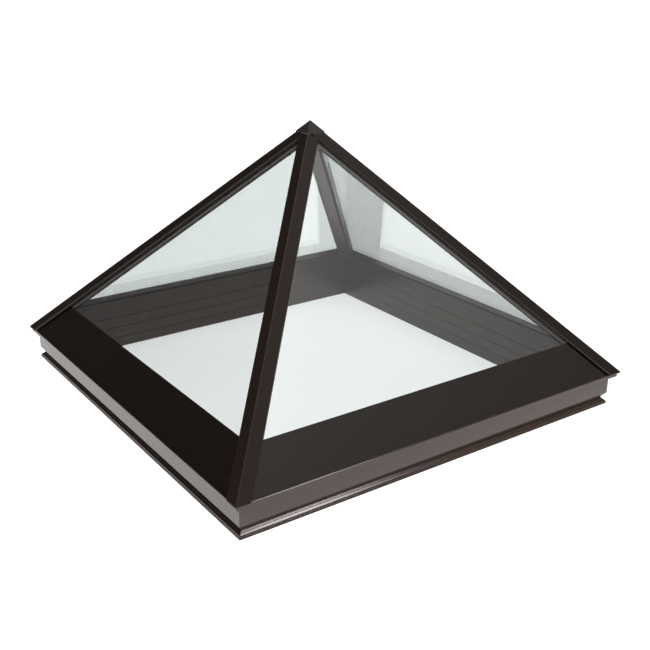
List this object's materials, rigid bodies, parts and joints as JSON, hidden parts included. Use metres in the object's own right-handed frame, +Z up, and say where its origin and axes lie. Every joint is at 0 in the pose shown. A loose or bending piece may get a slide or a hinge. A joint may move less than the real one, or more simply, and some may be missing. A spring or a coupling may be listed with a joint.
{
  "type": "roof skylight",
  "caption": "Square fixed pyramid roof skylight with insulated glass faces, a stepped dark bronze aluminium sill, capped hips and a small apex cap, made to sit on a roof curb.",
  "frame": {"origin": "middle of the skylight's underside, level with the top of the roof curb it sits on", "axes": "+Z up through the apex; -Y towards the face at the right front of the picture; +X towards the picture's right rear, so each axis is square to a sill; the four sides are alike"},
  "size_m": [1.232, 1.232, 0.7618],
  "materials": {
    "bronze_frame": "satin",
    "bronze_cap": "satin",
    "clear_glass": "clear",
    "dark_border": "smooth",
    "spacer_bar": "dull mill",
    "black_seal": "matte",
    "mill_aluminium": "mill",
    "screw_bronze": "satin"
  },
  "bodies": {
    "root": {"sill_front": "bronze_frame", "outer_pane_front": "clear_glass", "inner_pane_front": "clear_glass", "spacer_front": "spacer_bar", "border_front": "dark_border", "tapes_front": "black_seal", "sill_right": "bronze_frame", "outer_pane_right": "clear_glass", "inner_pane_right": "clear_glass", "spacer_right": "spacer_bar", "border_right": "dark_border", "tapes_right": "black_seal", "sill_back": "bronze_frame", "outer_pane_back": "clear_glass", "inner_pane_back": "clear_glass", "spacer_back": "spacer_bar", "border_back": "dark_border", "tapes_back": "black_seal", "sill_left": "bronze_frame", "outer_pane_left": "clear_glass", "inner_pane_left": "clear_glass", "spacer_left": "spacer_bar", "border_left": "dark_border", "tapes_left": "black_seal", "corner_key_front_left": "mill_aluminium", "rafter_front_left": "bronze_frame", "foot_block_front_left": "mill_aluminium", "rafter_gaskets_front_left": "black_seal", "hip_gaskets_front_left": "black_seal", "hip_cap_front_left": "bronze_cap", "corner_key_front_right": "mill_aluminium", "rafter_front_right": "bronze_frame", "foot_block_front_right": "mill_aluminium", "rafter_gaskets_front_right": "black_seal", "hip_gaskets_front_right": "black_seal", "hip_cap_front_right": "bronze_cap", "corner_key_back_right": "mill_aluminium", "rafter_back_right": "bronze_frame", "foot_block_back_right": "mill_aluminium", "rafter_gaskets_back_right": "black_seal", "hip_gaskets_back_right": "black_seal", "hip_cap_back_right": "bronze_cap", "corner_key_back_left": "mill_aluminium", "rafter_back_left": "bronze_frame", "foot_block_back_left": "mill_aluminium", "rafter_gaskets_back_left": "black_seal", "hip_gaskets_back_left": "black_seal", "hip_cap_back_left": "bronze_cap", "setting_blocks": "black_seal", "hip_plugs": "black_seal", "apex_hub": "bronze_frame", "apex_cap": "bronze_cap", "apex_screws": "screw_bronze", "rafter_screws": "screw_bronze"}
  },
  "joints": []
}
